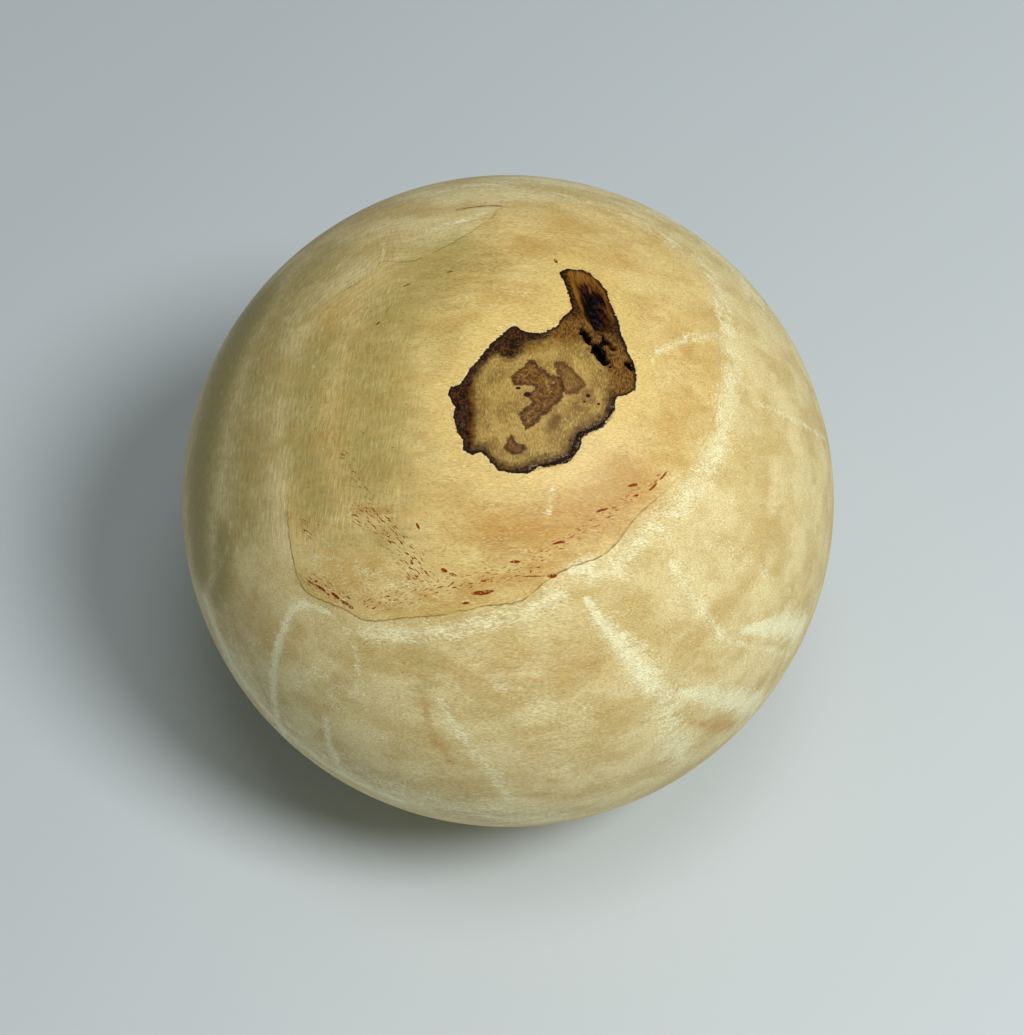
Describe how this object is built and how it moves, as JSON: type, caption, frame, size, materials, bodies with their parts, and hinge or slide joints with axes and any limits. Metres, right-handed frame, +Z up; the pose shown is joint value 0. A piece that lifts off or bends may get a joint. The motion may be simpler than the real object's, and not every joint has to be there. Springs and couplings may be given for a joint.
{
  "type": "wooden ball",
  "caption": "Solid turned wooden ball with a natural bark-ringed knot, a shallow horn-shaped bark pocket and small open pits near its top.",
  "frame": {"origin": "the ball's centre", "axes": "+Z up through the ball as it lies, with the knot near its top; -Y is the front and +X is to the right seen from the front"},
  "size_m": [0.08, 0.08, 0.08],
  "materials": {
    "wood": "satin oiled and waxed, finely sanded"
  },
  "bodies": {
    "root": {"ball": "wood"}
  },
  "joints": []
}
